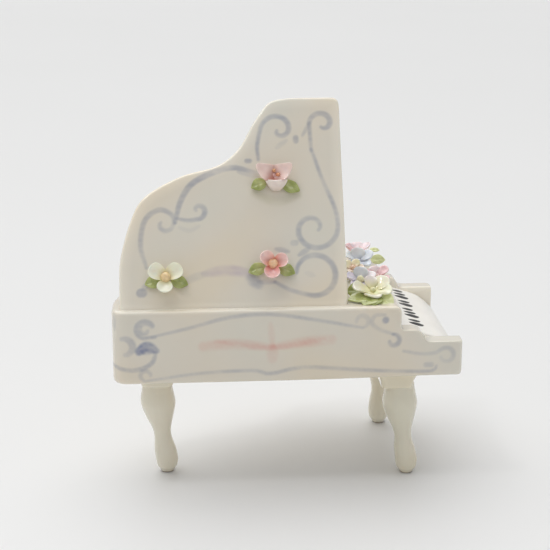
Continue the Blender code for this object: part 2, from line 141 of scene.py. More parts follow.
# Unglazed foot colour, darkened further as a painted contact shadow
CLAY_AND_CONTACT_SHADOW = np.array((0.20, 0.13, 0.08))
# Painted light: how much paler the far arm's inner face is made
INNER_ARM_PAINTED_LIGHT = 0.16
# Painted highlight: how much paler the band along the lid's edges is made
LID_RIM_PAINTED_LIGHT = 0.13


# ---------------------------------------------------------------- mesh helpers

def mesh_from(name, build):
    form = bmesh.new()
    build(form)
    mesh = bpy.data.meshes.new(name)
    form.to_mesh(mesh)
    form.free()
    return mesh


def loft(name, rings):
    """Closed body through rings of equally many points, with a flat cap at each end."""
    def build(form):
        rows = [[form.verts.new(point) for point in ring] for ring in rings]
        for low, high in zip(rows, rows[1:]):
            for i in range(len(low)):
                form.faces.new((low[i - 1], low[i], high[i], high[i - 1]))
        form.faces.new(list(reversed(rows[0])))
        form.faces.new(rows[-1])
        bmesh.ops.recalc_face_normals(form, faces=form.faces)
    return mesh_from(name, build)


def prism(name, outline, low, high):
    """A flat outline made thick along Z."""
    return loft(name, [[(x, y, z) for x, y in outline] for z in (low, high)])


def side_prism(name, profile, low, high):
    """A profile in X and Z made thick along Y."""
    return loft(name, [[(x, y, z) for x, z in profile] for y in (low, high)])


def block(name, low, high):
    outline = ((low[0], low[1]), (high[0], low[1]), (high[0], high[1]), (low[0], high[1]))
    return prism(name, outline, low[2], high[2])


def placed(name, data):
    """A new object in the scene."""
    made = bpy.data.objects.new(name, data)
    bpy.context.scene.collection.objects.link(made)
    return made


def applied(mesh, *modifiers):
    """The mesh with modifiers applied, each given as (type, settings)."""
    holder = placed(mesh.name, mesh)
    for kind, settings in modifiers:
        modifier = holder.modifiers.new(kind.lower(), kind)
        for key, value in settings.items():
            setattr(modifier, key, value)
    evaluated = holder.evaluated_get(bpy.context.evaluated_depsgraph_get())
    result = bpy.data.meshes.new_from_object(evaluated)
    bpy.data.objects.remove(holder)
    return result


def carved(mesh, *cutters):
    """The mesh with other meshes cut away from it."""
    for cutter in cutters:
        tool = placed("cutter", cutter)
        mesh = applied(mesh, ("BOOLEAN", {
            "operation": "DIFFERENCE", "solver": "EXACT", "object": tool}))
        bpy.data.objects.remove(tool)
    return mesh


def joined(name, meshes):
    """One mesh from several, their points one after another."""
    def build(form):
        for mesh in meshes:
            form.from_mesh(mesh)
    return mesh_from(name, build)


def joined_painted(name, parts):
    """One mesh and its colours from several pairs of both."""
    meshes, colours = zip(*parts)
    return joined(name, meshes), np.vstack(colours)


def softened(mesh, voxel, rounds):
    """An even, dense skin over the mesh with its edges softened, as under glaze."""
    return applied(
        mesh,
        ("REMESH", {"mode": "VOXEL", "voxel_size": voxel, "use_smooth_shade": True}),
        ("SMOOTH", {"factor": 0.5, "iterations": rounds}))


def bevelled(mesh, width, segments):
    return applied(mesh, ("BEVEL", {
        "width": width, "segments": segments, "limit_method": "ANGLE",
        "angle_limit": radians(50)}))


def coordinates(mesh):
    points = np.zeros(len(mesh.vertices) * 3, np.float32)
    mesh.vertices.foreach_get("co", points)
    return points.reshape(-1, 3).astype(float)


def set_coordinates(mesh, points):
    mesh.vertices.foreach_set("co", points.astype(np.float32).ravel())
    mesh.update()


def normals(mesh):
    found = np.zeros(len(mesh.vertices) * 3, np.float32)
    mesh.vertex_normals.foreach_get("vector", found)
    return found.reshape(-1, 3).astype(float)


def wave(points, size, seed):
    """Smooth pattern between -1 and 1 with features of a given size."""
    pattern = np.zeros(len(points))
    generator = np.random.default_rng(seed)
    for _ in range(6):
        direction = generator.normal(size=points.shape[1])
        direction /= np.linalg.norm(direction)
        stretch = generator.uniform(0.7, 1.6)
        phase = generator.uniform(0.0, tau)
        pattern += np.sin(points @ direction * tau / (size * stretch) + phase)
    return np.clip(pattern / 3.2, -1.0, 1.0)


def wobble(mesh, amount, size, seed):
    """Pushes the surface in and out a little, as in cast and hand-finished clay."""
    points = coordinates(mesh)
    push = wave(points, size, seed) * amount
    set_coordinates(mesh, points - normals(mesh) * (1.1 * amount + push)[:, None])


def bend_of_surface(mesh):
    """Curvature at each point in 1/mm, above 0 on edges and below 0 in hollows."""
    points = coordinates(mesh)
    edges = np.zeros(len(mesh.edges) * 2, np.int32)
    mesh.edges.foreach_get("vertices", edges)
    first, second = edges.reshape(-1, 2).T
    total = np.zeros_like(points)
    length = np.zeros(len(points))
    gap = points[second] - points[first]
    square = (gap ** 2).sum(1)
    for here, sign in ((first, 1.0), (second, -1.0)):
        for axis in range(3):
            total[:, axis] += np.bincount(here, gap[:, axis] * sign, len(points))
        length += np.bincount(here, square, len(points))
    return -2.0 * (total * normals(mesh)).sum(1) / np.maximum(length, 1e-9)


# ---------------------------------------------------------------- outlines

def arc(centre_x, centre_y, radius, start, end, steps):
    angles = [radians(start + (end - start) * step / steps) for step in range(steps + 1)]
    return [(centre_x + radius * cos(a), centre_y + radius * sin(a)) for a in angles]


def smooth_path(knots, steps):
    """Points on a Catmull-Rom curve through the knots, ends included."""
    first = tuple(2 * a - b for a, b in zip(knots[0], knots[1]))
    last = tuple(2 * a - b for a, b in zip(knots[-1], knots[-2]))
    padded = [first, *knots, last]
    points = []
    for index in range(len(knots) - 1):
        before, start, end, after = padded[index:index + 4]
        for step in range(steps):
            t = step / steps
            points.append(tuple(
                0.5 * (2 * q + (r - p) * t + (2 * p - 5 * q + 4 * r - s) * t ** 2
                       + (3 * q - p - 3 * r + s) * t ** 3)
                for p, q, r, s in zip(before, start, end, after)))
    points.append(tuple(knots[-1]))
    return points


def grand_outline(tail, front, depth, spine_radius, front_radius):
    """Wing-shaped plan, anticlockwise: straight spine, front, treble, bent side."""
    bent_side = [(tail + x, depth * f) for x, f in reversed(BENT_SIDE)]
    points = arc(tail + spine_radius, spine_radius, spine_radius, 180, 270, 6)
    points += arc(front - front_radius, front_radius, front_radius, 270, 360, 4)
    points += arc(front - front_radius, depth - front_radius, front_radius, 0, 90, 4)
    points += smooth_path(bent_side, 6)
    return points


def clamp(value, low, high):
    return min(max(value, low), high)


def turns_back(before, point, after):
    came = (point[0] - before[0], point[1] - before[1])
    goes = (after[0] - point[0], after[1] - point[1])
    along = came[0] * goes[0] + came[1] * goes[1]
    return along < -abs(came[0] * goes[1] - came[1] * goes[0])


def inset(outline, distance, low, high):
    """The outline moved inwards and kept between two corners, without its folds."""
    moved = []
    for index, (x, y) in enumerate(outline):
        ahead = outline[(index + 1) % len(outline)]
        behind = outline[index - 1]
        run = (ahead[0] - behind[0], ahead[1] - behind[1])
        length = (run[0] ** 2 + run[1] ** 2) ** 0.5
        point = (
            clamp(x - run[1] / length * distance, low[0], high[0]),
            clamp(y + run[0] / length * distance, low[1], high[1]))
        last = moved[-1] if moved else outline[-1]
        step = (point[0] - last[0]) * run[0] + (point[1] - last[1]) * run[1]
        if step > 0.1 * length:
            moved.append(point)
    return [
        point for index, point in enumerate(moved)
        if not turns_back(moved[index - 1], point, moved[(index + 1) % len(moved)])]


CASE_OUTLINE = grand_outline(0.0, LENGTH, WIDTH, CORNER_RADIUS, 1.0)


def nearest_on(line, spots):
    """Each spot's distance from the line, and where on it that is, counted in its parts."""
    distance = np.full(len(spots), np.inf)
    along = np.zeros(len(spots))
    for index, (start, end) in enumerate(zip(line, line[1:])):
        run = end - start
        t = np.clip((spots - start) @ run / max(run @ run, 1e-9), 0.0, 1.0)
        away = np.linalg.norm(spots - start - t[:, None] * run, axis=1)
        closer = away < distance
        distance[closer] = away[closer]
        along[closer] = index + t[closer]
    return distance, along


def closed(outline):
    return np.array([*outline, outline[0]])


def well_outline(extra, front):
    low = (WALL + extra, SPINE_LEDGE + extra)
    high = (front, WIDTH - WALL - extra)
    return inset(CASE_OUTLINE, WALL + extra, low, high)


# ---------------------------------------------------------------- brush strokes

def spiral(centre, start_radius, end_radius, start, end):
    """Points on a spiral, its angles in degrees."""
    points = []
    for step in range(13):
        t = step / 12
        radius = start_radius + (end_radius - start_radius) * t
        angle = radians(start + (end - start) * t)
        points.append((centre[0] + radius * cos(angle), centre[1] + radius * sin(angle)))
    return points


def brush(knots, width, strength, pigment=BLUE, taper=(0.5, 0.5), soft=0.4):
    """A stroke through its knots. Width is at its fullest, taper the share of it at the
    start and the end, and soft how far the edge fades."""
    return (np.array(smooth_path(knots, 5)), width / 2, strength, pigment, taper, soft)


def dab(x, y, across, up, strength, pigment=BLUE):
    """An oval touch of the brush, drawn as a short fat stroke."""
    if across >= up:
        reach = max((across - up) / 2, 0.05)
        knots = ((x - reach, y), (x + reach, y))
    else:
        reach = max((up - across) / 2, 0.05)
        knots = ((x, y - reach), (x, y + reach))
    return (np.array(knots), min(across, up) / 2, strength, pigment, (1.0, 1.0), 0.35)


LID_STROKES = (
    # under the top flower
    brush(((34.5, 28.0), (40.0, 26.0), (45.5, 27.5)), 1.9, 0.3, OLIVE, (0.4, 0.5), 0.9),
    # two tall scrolls, the second running down the straight edge into a curl
    brush(((36.0, 36.5), (35.8, 40.0), *spiral((41.2, 44.0), 4.5, 0.5, 175, -160)), 1.15, 0.85),
    brush(((49.0, 38.5), *spiral((52.0, 45.6), 3.4, 1.0, 200, -110)), 1.25, 0.85),
    brush(((47.0, 42.5), (49.0, 46.0)), 0.8, 0.5),
    brush(((49.0, 39.0), (51.5, 31.0), (54.0, 24.5),
           *spiral((48.8, 19.0), 6.0, 1.2, 10, -380)), 1.15, 0.8),
    # the round scroll in the lower corner
    brush((*spiral((48.6, 7.7), 4.4, 5.3, 175, -110), (42.5, 4.0), (39.0, 6.0)), 1.25, 0.85),
    brush(((47.5, 14.0), (45.0, 12.5)), 1.2, 0.7),
    dab(44.0, 15.5, 1.9, 1.3, 0.6),
    brush(((33.0, 7.0), (35.0, 5.5)), 2.4, 0.62, DEEP_BLUE * 0.4 + BLUE * 0.6, (0.6, 0.8), 0.8),
    brush(((35.0, 6.0), (39.0, 6.0)), 1.0, 0.6),
    # the long bow towards the tail and its curls
    brush(((36.0, 33.0), (29.0, 34.5), (20.5, 31.2), (17.0, 26.5), (15.5, 21.0)), 1.35, 0.85),
    brush(((36.0, 32.0), (31.0, 33.5)), 1.0, 0.45),
    brush(((16.0, 22.0), (18.5, 21.5), *spiral((21.0, 24.0), 2.3, 0.4, -100, 180)), 1.15, 0.75),
    brush(((15.5, 21.0), (14.5, 23.2), (11.5, 24.2), (8.2, 21.5), (7.2, 15.5), (8.5, 10.0)),
          1.15, 0.75),
    brush(spiral((13.0, 20.7), 2.2, 1.0, 20, -205), 1.0, 0.65),
    # the soft line between the two lower flowers, and loose touches
    brush(((22.0, 8.3), (28.0, 9.0), (34.0, 8.0)), 2.3, 0.62, VIOLET, (0.3, 0.5), 0.7),
    brush(((17.0, 6.5), (22.5, 8.3)), 1.6, 0.3, BLUE, (0.3, 0.6), 0.6),
    dab(7.3, 3.9, 2.5, 2.1, 1.0),
    brush(((7.5, 4.5), (8.5, 6.0)), 1.3, 0.5),
    dab(33.5, 36.2, 1.7, 1.0, 0.85),
    dab(45.3, 41.6, 1.2, 2.0, 0.8),
    brush(((43.0, 41.3), (40.5, 39.5)), 1.1, 0.45),
    brush(((39.5, 14.1), (42.5, 13.4)), 1.2, 0.75),
    brush(((16.5, 19.8), (18.8, 19.0), (21.2, 20.0)), 1.0, 0.22),
    brush(((48.4, 7.4), (46.6, 8.0)), 1.2, 0.2),
)

SIDE_STROKES = (
    # upper border: a curl at the tail, a long bow, a loop and hooks by the fallboard
    brush((*spiral((7.9, 13.5), 0.7, 1.9, 330, 30), *spiral((7.9, 13.5), 1.9, 2.1, 50, 290),
           (10.2, 11.6)), 1.2, 0.95),
    brush(((9.5, 11.7), (18.0, 13.6), (28.0, 16.1), (38.0, 16.6), (50.0, 14.7), (59.5, 12.8)),
          0.8, 0.62),
    brush(spiral((59.4, 14.4), 1.4, 1.5, 184, -70), 1.0, 0.42),
    brush(((64.8, 15.9), (62.5, 15.8), (61.7, 14.0), (63.5, 12.3), (67.0, 11.0)), 0.9, 0.5),
    dab(65.0, 14.6, 1.5, 1.6, 0.6, DEEP_BLUE),
    brush(spiral((67.0, 9.4), 1.6, 1.0, 94, -170), 1.05, 0.75),
    # the scroll on the arm
    brush(((69.5, 6.7), (73.5, 5.9), (77.0, 6.0), *spiral((79.9, 5.4), 2.0, 1.4, 135, -163)),
          1.0, 0.5),
    dab(75.7, 3.1, 2.5, 1.2, 0.55),
    # lower border
    brush(spiral((7.8, 2.0), 1.2, 1.2, 0, 235), 1.0, 0.65),
    brush(((7.5, 0.6), (20.0, 2.2), (33.0, 2.7), (37.5, 1.8), (46.0, 3.2), (62.0, 2.0),
           (74.0, 1.4), (77.0, 1.8), (77.6, 2.8)), 0.8, 0.62),
    # the tail corner
    brush(((-0.1, 16.4), (0.0, 13.4)), 1.5, 0.45),
    brush(spiral((2.9, 9.3), 2.0, 2.0, 110, -85), 1.6, 0.6),
    brush(((6.4, 8.1), (8.3, 9.2), (10.5, 8.2)), 2.5, 1.0, DEEP_BLUE, (0.7, 0.45), 0.5),
    brush(((7.0, 8.0), (9.5, 8.2)), 1.5, 0.5, DEEP_BLUE, (0.6, 0.6), 0.5),
    brush(((10.4, 8.0), (9.2, 5.0), (5.0, 3.4), (-2.0, 4.6)), 1.0, 0.8),
    brush(spiral((-4.3, 12.3), 2.1, 1.4, 188, -55), 1.0, 0.6),
    # the pink spray in the middle
    brush(((38.0, 8.5), (28.0, 9.4), (21.6, 9.0)), 2.2, 0.42, PINK, (0.3, 0.9), 0.8),
    brush(((38.0, 8.5), (47.5, 9.7), (52.0, 10.0)), 2.2, 0.42, PINK, (0.3, 0.9), 0.8),
    brush(((37.5, 14.2), (38.0, 8.6)), 1.2, 0.32, PINK, (0.4, 0.4), 0.7),
    brush(((38.0, 8.8), (38.0, 5.6)), 2.4, 0.34, PINK, (0.4, 0.8), 0.8),
    brush(((24.5, 10.2), (38.0, 8.3), (50.5, 10.3)), 0.9, 0.34, PINK, (0.3, 0.3), 0.6),
)

# Black keys in twos and threes: (y of the first, how many)
KEY_GROUPS = ((10.8, 2), (17.4, 3), (26.8, 2), (33.5, 3))
KEY_PITCH = 2.6
KEY_START = 73.3
KEY_REACH, KEY_SHORTER = 2.9, 0.35
KEY_BOLD, KEY_FINE = 2.4, 1.7


def black_key(y, step):
    """A stroke towards the player; the first of a group is the boldest."""
    reach = KEY_REACH - KEY_SHORTER * step
    return brush(
        ((KEY_START, y), (KEY_START + 0.46 * reach, y + 0.35), (KEY_START + reach, y + 1.2)),
        KEY_FINE if step else KEY_BOLD, 1.8, BLACK, (0.6, 0.2), 0.12)


KEY_STROKES = tuple(
    black_key(start + KEY_PITCH * step, step)
    for start, count in KEY_GROUPS for step in range(count))


def washed(base, place, strokes, seed):
    """Base colours with the strokes laid over them; place holds each point's flat position."""
    colours = base.copy()
    ripple = 1.0 + 0.34 * wave(place, 6.0, seed) + 0.14 * wave(place, 1.3, seed + 1)
    for line, half, strength, pigment, taper, soft in strokes:
        margin = half + soft + 0.1
        near = np.flatnonzero(
            (place > line.min(0) - margin).all(1) & (place < line.max(0) + margin).all(1))
        if not len(near):
            continue
        distance, along = nearest_on(line, place[near])
        along /= len(line) - 1
        ends = taper[0] + (taper[1] - taper[0]) * along
        full = half * (ends + (1.0 - ends) * np.sin(pi * along) ** 0.7)
        reach = np.clip((full + soft - distance) / (2 * soft), 0.0, 1.0)
        cover = reach * reach * (3.0 - 2.0 * reach)
        rim = 0.85 + 0.3 * np.clip(distance / full, 0.0, 1.0) ** 3
        density = np.clip(0.84 * cover * strength * rim * ripple[near], 0.0, 1.0)[:, None]
        colours[near] *= 1.0 + (pigment - 1.0) * density
    return colours


def clay_colours(mesh, base, seed):
    """Cream glaze with faint warm and cool clouds: paler over edges, as thin glaze and painted
    highlight, and deeper in hollows, as pooled glaze and painted shade.
    """
    points = coordinates(mesh)
    bend = bend_of_surface(mesh)
    edge = np.clip(bend / 1.2, 0.0, 1.0)[:, None]
    pooled_and_shaded = np.clip(-bend / 0.8, 0.0, 1.0)[:, None]
    cloud = wave(points, 22.0, seed)[:, None]
    colours = np.tile(base, (len(points), 1))
    colours *= 1.0 + (EDGE_GLAZE_AND_HIGHLIGHT - 1.0) * edge
    colours *= 1.0 + (POOL_GLAZE_AND_SHADE - 1.0) * pooled_and_shaded
    colours *= 1.0 + (WARM_TINT - 1.0) * np.clip(cloud, 0.0, 1.0)
    colours *= 1.0 + (COOL_TINT - 1.0) * np.clip(-cloud, 0.0, 1.0)
    return colours


def set_paint(mesh, colours):
    layer = mesh.color_attributes.new("paint", "FLOAT_COLOR", "POINT")
    values = np.ones((len(mesh.vertices), 4), np.float32)
    values[:, :3] = np.clip(colours, 0.0, 1.0)
    layer.data.foreach_set("color", values.ravel())


# ---------------------------------------------------------------- materials

def node(tree, kind, **settings):
    made = tree.nodes.new(kind)
    for key, value in settings.items():
        if key in made.inputs:
            made.inputs[key].default_value = value
        else:
            setattr(made, key, value)
    return made


def ranged(tree, source, low, high, start=0.0, stop=1.0):
    """A value from low to high as the source goes from start to stop."""
    made = node(tree, "ShaderNodeMapRange", **{
        "From Min": start, "From Max": stop, "To Min": low, "To Max": high})
    tree.links.new(source, made.inputs["Value"])
    return made.outputs["Result"]


def glazed(name, roughness, ripple, speckle, subsurface, plain=None, shine=0.5, coat=0.6):
    """Glazed ceramic. Its colour is the paint attribute, or a plain colour for a CAD node."""
    material = bpy.data.materials.new(name)
    material.use_nodes = True
    tree = material.node_tree
    link = tree.links.new
    shader = tree.nodes["Principled BSDF"]
    place = node(tree, "ShaderNodeTexCoord").outputs["Object"]

    cloud = node(tree, "ShaderNodeTexNoise", Scale=90.0, Detail=3.0, Roughness=0.55)
    grain = node(tree, "ShaderNodeTexNoise", Scale=1600.0, Detail=2.0, Roughness=0.6)
    pits = node(tree, "ShaderNodeTexVoronoi", Scale=420.0)
    for texture in (cloud, grain, pits):
        link(place, texture.inputs["Vector"])

    shade = node(tree, "ShaderNodeMath", operation="MULTIPLY")
    tone = ranged(tree, cloud.outputs["Fac"], 1.0 - speckle, 1.0 + speckle * 0.4)
    link(tone, shade.inputs[0])
    link(ranged(tree, pits.outputs["Distance"], 0.88, 1.0, 0.02, 0.05), shade.inputs[1])
    colour = node(tree, "ShaderNodeVectorMath", operation="SCALE")
    if plain is None:
        paint = node(tree, "ShaderNodeAttribute", attribute_name="paint")
        link(paint.outputs["Color"], colour.inputs[0])
    else:
        colour.inputs[0].default_value = plain
    link(shade.outputs["Value"], colour.inputs["Scale"])
    link(colour.outputs["Vector"], shader.inputs["Base Color"])

    gloss = ranged(tree, grain.outputs["Fac"], roughness * 0.8, roughness * 1.35)
    link(gloss, shader.inputs["Roughness"])

    swell = node(tree, "ShaderNodeBump", Strength=ripple, Distance=0.00025)
    link(cloud.outputs["Fac"], swell.inputs["Height"])
    fine = node(tree, "ShaderNodeBump", Strength=ripple * 0.5, Distance=0.00002)
    link(grain.outputs["Fac"], fine.inputs["Height"])
    link(swell.outputs["Normal"], fine.inputs["Normal"])
    link(fine.outputs["Normal"], shader.inputs["Normal"])

    shader.inputs["IOR"].default_value = 1.52
    shader.inputs["Specular IOR Level"].default_value = shine
    shader.inputs["Coat Weight"].default_value = coat
    shader.inputs["Coat Roughness"].default_value = 0.05
    shader.inputs["Subsurface Weight"].default_value = subsurface
    shader.inputs["Subsurface Radius"].default_value = (1.0, 0.8, 0.6)
    shader.inputs["Subsurface Scale"].default_value = 0.0006
    return material


GLAZE = glazed("porcelain", 0.22, 0.25, 0.03, 0.12)
KEY_GLAZE = glazed("key_enamel", 0.42, 0.25, 0.03, 0.05, shine=0.2, coat=0.08)
PETAL_GLAZE = glazed("petal_glaze", 0.20, 0.35, 0.06, 0.25)
LEAF_GLAZE = glazed("leaf_glaze", 0.18, 0.5, 0.14, 0.05)
INSIDE_GLAZE = glazed("porcelain_inside", 0.3, 0.3, 0.06, 0.05, plain=(0.76, 0.72, 0.63))


def piece(name, mesh, material, slot, colours, *replaced, matrix=Matrix.Identity(4)):
    """Puts a finished mesh, in millimetres, on the piano in place of its CAD nodes."""
    set_paint(mesh, colours)
    mesh.transform(PLACE @ matrix)
    mesh.materials.clear()
    mesh.materials.append(material)
    mesh.shade_smooth()
    made = placed(name, mesh)
    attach(made, "root")
    if replaced:
        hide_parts(*replaced)
    return made


# ---------------------------------------------------------------- case

# Painting round the case: what the front corners take off the way round, how far the
# treble side's and the tail's measures reach past their corners, and the depth of skin
# that takes paint
FRONT_CORNERS = 1.7
TREBLE_OVERLAP = 2.0
TAIL_REACH = 10.0
OUTER_SKIN = 1.35
FAR_AWAY = 1e6


def keyboard_end_profile():
    nose = arc(FALLBOARD_X - FALLBOARD_NOSE, CASE_HEIGHT - FALLBOARD_NOSE,
               FALLBOARD_NOSE, 80, 0, 6)
    above = CASE_HEIGHT + 3.0
    beyond = LENGTH + 3.0
    return [
        (nose[0][0], above), *nose, (FALLBOARD_X, OGEE[0][1]), *smooth_path(OGEE, 3),
        (beyond, OGEE[-1][1]), (beyond, above)]


def side_places(points):
    """Flat position (along, up) of each point on the outside of the case; far away elsewhere.
    Along is x on the spine side and goes below 0 round the tail corner; the treble side
    has the same measure, mirrored."""
    outline = closed(CASE_OUTLINE)
    lengths = np.linalg.norm(np.diff(outline, axis=0), axis=1)
    travelled = np.concatenate(([0.0], np.cumsum(lengths)))
    distance, along = nearest_on(outline, points[:, :2])
    along = np.interp(along, np.arange(len(travelled)), travelled)
    corner = CORNER_RADIUS * pi / 2 - CORNER_RADIUS
    round_trip = travelled[-1]
    along -= corner
    treble = LENGTH + WIDTH - FRONT_CORNERS
    mirrored = LENGTH - (along - treble)
    place = np.where(along > treble - TREBLE_OVERLAP, mirrored, along)
    place = np.where(along > round_trip - corner - TAIL_REACH, along - round_trip, place)
    return np.column_stack((np.where(distance < OUTER_SKIN, place, FAR_AWAY), points[:, 2]))


def make_case():
    body = bevelled(prism("case_body", CASE_OUTLINE, 0.0, CASE_HEIGHT), CASE_EDGE, 3)
    above = CASE_HEIGHT + 4.0
    belly = FALLBOARD_X - BELLY_WALL
    under_deck = CASE_HEIGHT - DECK_THICKNESS
    vent_x, vent_y, vent_radius = VENT
    body = carved(
        body,
        side_prism("end", keyboard_end_profile(), -3.0, WIDTH + 3.0),
        block("bay", (FALLBOARD_X, ARM_WIDTH, FLOOR),
              (LENGTH + 4.0, WIDTH - ARM_WIDTH, above)),
        prism("well", well_outline(0.0, DECK_X), SOUNDBOARD_Z, above),
        prism("under_deck", well_outline(0.0, belly), SOUNDBOARD_Z, under_deck),
        prism("cavity", well_outline(SOUNDBOARD_LEDGE, belly - SOUNDBOARD_LEDGE),
              FLOOR, SOUNDBOARD_Z + 1.0),
        prism("vent", arc(vent_x, vent_y, vent_radius, 0, 345, 23), -2.0, FLOOR + 1.0))
    mesh = softened(body, *CASE_SKIN)
    wobble(mesh, CAST_WOBBLE, 17.0, 3)
    points = coordinates(mesh)
    low = np.clip(1.0 - points[:, 2] / 5.0, 0.0, 1.0)
    toward_tail = np.clip((LENGTH - 3.0 - points[:, 0]) / 40.0, 0.0, 1.0)
    points[:, 2] -= CASE_SAG * low * toward_tail
    x, y, z = points.T
    on_arm = np.clip(x - FALLBOARD_X - 0.5, 0.0, 1.0) * np.clip((z - FLOOR) / 4.0, 0.0, 1.0)
    points[:, 2] += FAR_ARM_LIFT * on_arm * np.clip((y - WIDTH + ARM_WIDTH) / 0.8, 0.0, 1.0)
    set_coordinates(mesh, points)
    base = clay_colours(mesh, PORCELAIN, 11)
    # Painted light: the far arm's face that looks towards the spine side is made paler
    painted_light_face = on_arm * (y > WIDTH / 2) * np.clip(-normals(mesh)[:, 1], 0.0, 1.0)
    base *= 1.0 + INNER_ARM_PAINTED_LIGHT * painted_light_face[:, None]
    colours = washed(base, side_places(coordinates(mesh)), SIDE_STROKES, 21)
    piece("case_shell", mesh, GLAZE, "porcelain", colours, "case", "front_deck")


def make_keyboard():
    """One sloping body whose top is fine enough to carry the painted keys."""
    low, high = ARM_WIDTH + 0.02, WIDTH - ARM_WIDTH - 0.02
    top = smooth_path(KEY_TOP, 26)
    rings = []
    count = 300
    for index in range(count + 1):
        y = low + (high - low) * index / count
        edge = min(y - low, high - y)
        drop = 0.35 * max(0.0, 1.0 - edge / 0.5) ** 2
        ring = [(FALLBOARD_X + 0.05, y, FLOOR + 0.05), (KEY_TOP[0][0] - 0.1, y, FLOOR + 0.05)]
        ring += [(x, y, z - drop) for x, z in top]
        rings.append(ring)
    mesh = loft("keyboard_body", rings)
    points = coordinates(mesh)
    base = np.tile(KEY_WHITE, (len(points), 1))
    base *= 1.0 + 0.02 * wave(points, 9.0, 5)[:, None]
    place = points[:, :2].copy()
    place[points[:, 2] < FLOOR + 0.1] = FAR_AWAY
    colours = washed(base, place, KEY_STROKES, 31)
    piece("keyboard_glazed", mesh, KEY_GLAZE, "porcelain", colours, "keyboard")


# ---------------------------------------------------------------- lid

def make_lid():
    outline = grand_outline(LID_TAIL, LID_FRONT, LID_DEPTH, 0.5, 1.8)
    outline = [(x, y - LID_ROOT if y < 1.0 else y) for x, y in outline]
    body = bevelled(prism("lid_body", outline, -LID_THICKNESS, 0.0), LID_EDGE, 4)
    foot = block("foot", (-5.0, -10.0, 0.0), (LENGTH, WIDTH, CASE_HEIGHT - LID_SUNK))
    seam = loft("seam", [
        [(x, LID_SETBACK + y, CASE_HEIGHT + z) for y, z in SEAM] for x in SEAM_REACH])
    for tool in (foot, seam):
        tool.transform(LID_PLANE.inverted())
    body = joined("lid_body", (carved(body, foot), seam))
    mesh = softened(body, *LID_SKIN)
    wobble(mesh, CAST_WOBBLE, 19.0, 8)
    points = coordinates(mesh)
    base = clay_colours(mesh, PORCELAIN, 13)
    # Painted highlight: a band along the lid's edges, where its rounded edges catch the light
    from_edge, _ = nearest_on(closed(outline), points[:, :2])
    base *= 1.0 + LID_RIM_PAINTED_LIGHT * np.clip(1.0 - from_edge / LID_LIT_BAND, 0.0, 1.0)[:, None]
    place = points[:, :2].copy()
    place[points[:, 2] < -LID_FACE] = FAR_AWAY
    colours = washed(base, place, LID_STROKES, 41)
    piece("lid_shell", mesh, GLAZE, "porcelain", colours, "lid", matrix=LID_PLANE)


# ---------------------------------------------------------------- legs

def rounded_square(half, corner, z):
    inner = half - corner
    points = []
    for x, y, start in ((inner, -inner, 270), (inner, inner, 0), (-inner, inner, 90),
                        (-inner, -inner, 180)):
        points += [(px, py, z) for px, py in arc(x, y, corner, start, start + 90, 5)]
    return points


def make_legs():
    for index, (name, (x, y, toe, block_shift)) in enumerate(LEGS.items()):
        knots = [(shift, -depth, radius) for depth, shift, radius in LEG_PROFILE]
        rings = [
            [(shift + radius * cos(a), radius * sin(a), z)
             for a in (tau * step / 40 for step in range(40))]
            for shift, z, radius in smooth_path(knots, 5)]
        mesh = softened(loft(name, rings), *LEG_SKIN)
        wobble(mesh, LEG_WOBBLE, 7.0, 50 + index)
        points = coordinates(mesh)
        floor_level = points[:, 2].min()
        rise = FOOT_GAP - LEG_HEIGHT - floor_level
        points[:, 2] += rise * np.clip((-points[:, 2] - 20.0) / 7.0, 0, 1)
        set_coordinates(mesh, points)
        colours = clay_colours(mesh, LEG_TINTS_AND_PAINTED_LIGHT[name], 60 + index)
        height = points[:, 2] + LEG_HEIGHT + 0.12 * wave(points, 2.2, 70 + index)
        # The foot: bare clay, with painted contact shadow where it meets the floor
        bare_and_shadowed = 0.75 * np.clip((0.45 - height) / 0.25, 0.0, 1.0)[:, None]
        colours = colours * (1.0 - bare_and_shadowed) + CLAY_AND_CONTACT_SHADOW * bare_and_shadowed
        turn = Matrix.Translation((x, y, 0.0)) @ Matrix.Rotation(toe, 4, "Z")
        piece(f"{name}_glazed", mesh, GLAZE, "porcelain", colours, name, matrix=turn)

        plinth = name.replace("leg", "leg_block")
        rings = []
        for step in range(13):
            t = step / 12
            half = BLOCK_FOOT + (BLOCK_TOP - BLOCK_FOOT) * (1.0 - t) ** BLOCK_FLARE
            z = 0.3 - (BLOCK_HEIGHT + 0.5) * t
            rings.append(rounded_square(half + GLAZE_COAT, BLOCK_CORNER, z))
        mesh = softened(loft(plinth, rings), *BLOCK_SKIN)
        colours = clay_colours(mesh, LEG_TINTS_AND_PAINTED_LIGHT[name], 80 + index)
        piece(f"{plinth}_glazed", mesh, GLAZE, "porcelain", colours, plinth,
              matrix=Matrix.Translation((x + block_shift, y, 0.0)))


# ---------------------------------------------------------------- flowers

def round_mesh(name, segments, rings, shape):
    """A unit ball with all its points moved by a function of x, y and z arrays."""
    mesh = mesh_from(name, lambda form: bmesh.ops.create_uvsphere(
        form, u_segments=segments, v_segments=rings, radius=1.0))
    x, y, z = coordinates(mesh).T
    set_coordinates(mesh, np.column_stack(shape(x, y, z)))
    return mesh


